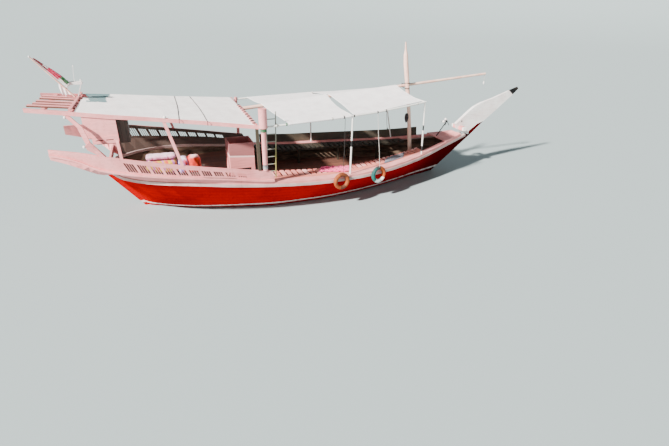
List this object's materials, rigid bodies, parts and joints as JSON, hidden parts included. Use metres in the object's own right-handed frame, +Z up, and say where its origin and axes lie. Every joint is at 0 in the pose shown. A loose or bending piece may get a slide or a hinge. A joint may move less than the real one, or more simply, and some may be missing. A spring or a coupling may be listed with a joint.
{
  "type": "small wooden dhow passenger boat",
  "caption": "Small double-ended wooden dhow with a long raked stem head, a roof over the aft deck, a cloth canopy forward, a short mast with a stowed yard, and a rudder and propeller.",
  "frame": {"origin": "on the centreline at the waterline, amidships", "axes": "+X towards the bow, +Y to port, +Z up"},
  "size_m": [17.98, 5.082, 6.07],
  "materials": {
    "red_hull": "gloss red paint on planks",
    "pink_paint": "pale pink paint on wood, worn",
    "white_paint": "white paint on wood",
    "white_pipe": "white paint on steel pipe",
    "wale_paint": "grey-white paint on wood, worn",
    "canvas": "white canvas",
    "deck_wood": "salmon-coloured deck wood",
    "shade_wood": "dark brown wood",
    "spar_wood": "cream and pink paint on a round spar",
    "black_iron": "black iron",
    "rubber": "old tyre rubber with paint on it",
    "steel": "grey engine steel",
    "brass": "cast bronze",
    "cushion_pink": "pink cushion cloth",
    "cushion_orange": "orange cushion cloth",
    "flag_cloth": "flag cloth in bands"
  },
  "bodies": {
    "boat": {"hull": "red_hull", "keel": "red_hull", "sternpost": "red_hull", "stem": "red_hull", "bitt_beam": "pink_paint", "stem_head": "white_paint", "stem_tip": "black_iron", "bow_deck": "pink_paint", "transom_board": "pink_paint", "engine": "steel", "fore_deck": "deck_wood", "aft_deck": "deck_wood", "deck_bulkhead": "shade_wood", "aft_roof_frame": "pink_paint", "aft_awning": "canvas", "yard": "spar_wood", "canopy_cloth_aft": "canvas", "canopy_cloth_fore": "canvas", "mast": "spar_wood", "ladder": "white_pipe", "deck_box": "deck_wood", "side_locker": "shade_wood", "cushions_aft": "cushion_pink", "cushions_fore": "cushion_orange", "signal_stand": "white_paint", "fender_aft": "rubber", "fender_fore": "rubber", "anchor": "black_iron", "flagstaff": "spar_wood", "flag": "flag_cloth", "canopy_cross_mid": "white_pipe", "canopy_cross_fore": "white_pipe", "stern_cupboard": "shade_wood", "roof_post_starboard": "shade_wood", "washboard_port": "shade_wood", "wale_starboard": "wale_paint", "covering_board_starboard": "pink_paint", "aft_bulwark_starboard": "pink_paint", "side_deck_starboard": "deck_wood", "mid_strut_starboard": "pink_paint", "stern_strut_starboard": "pink_paint", "corner_post_starboard": "pink_paint", "canopy_rail_starboard": "white_pipe", "canopy_post_mid_starboard": "white_pipe", "canopy_post_fore_starboard": "white_pipe", "stern_screen_starboard": "pink_paint", "wale_port": "wale_paint", "covering_board_port": "pink_paint", "aft_bulwark_port": "pink_paint", "side_deck_port": "deck_wood", "mid_strut_port": "pink_paint", "stern_strut_port": "pink_paint", "corner_post_port": "pink_paint", "canopy_rail_port": "white_pipe", "canopy_post_mid_port": "white_pipe", "canopy_post_fore_port": "white_pipe", "stern_screen_port": "pink_paint"},
    "rudder": {"rudder": "red_hull"},
    "propeller": {"propeller": "brass"}
  },
  "joints": [
    {"name": "rudder_hinge", "type": "hinge", "parent": "boat", "child": "rudder", "pos_m": [-5.25, 0, -0.5], "axis": [0, 0, 1], "range_deg": [-35, 35]},
    {"name": "propeller_spin", "type": "hinge", "parent": "boat", "child": "propeller", "pos_m": [-4.85, 0, -0.49], "axis": [1, 0, 0], "continuous": true}
  ]
}
